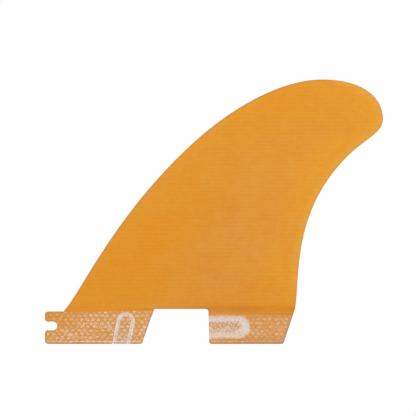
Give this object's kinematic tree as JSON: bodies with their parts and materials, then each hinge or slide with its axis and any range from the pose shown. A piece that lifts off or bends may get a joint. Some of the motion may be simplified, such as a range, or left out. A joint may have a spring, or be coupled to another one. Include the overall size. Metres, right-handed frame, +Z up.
{
  "type": "surfboard fin",
  "caption": "Solid glass-fibre surfboard fin with a raked, foiled blade and plug-in base tabs, the front one notched to hook under a pin.",
  "frame": {"origin": "middle of the root line on the blade's flat underside between the tabs, where it meets the board", "axes": "+X aft along the root, +Y across the thickness, +Z up the blade to the tip"},
  "size_m": [0.1694, 0.007, 0.1325],
  "materials": {
    "laminate": "amber glass-fibre laminate: satin, lightly ribbed on the blade, bare weave with white knuckles on the tabs"
  },
  "bodies": {
    "root": {"fin": "laminate"}
  },
  "joints": []
}
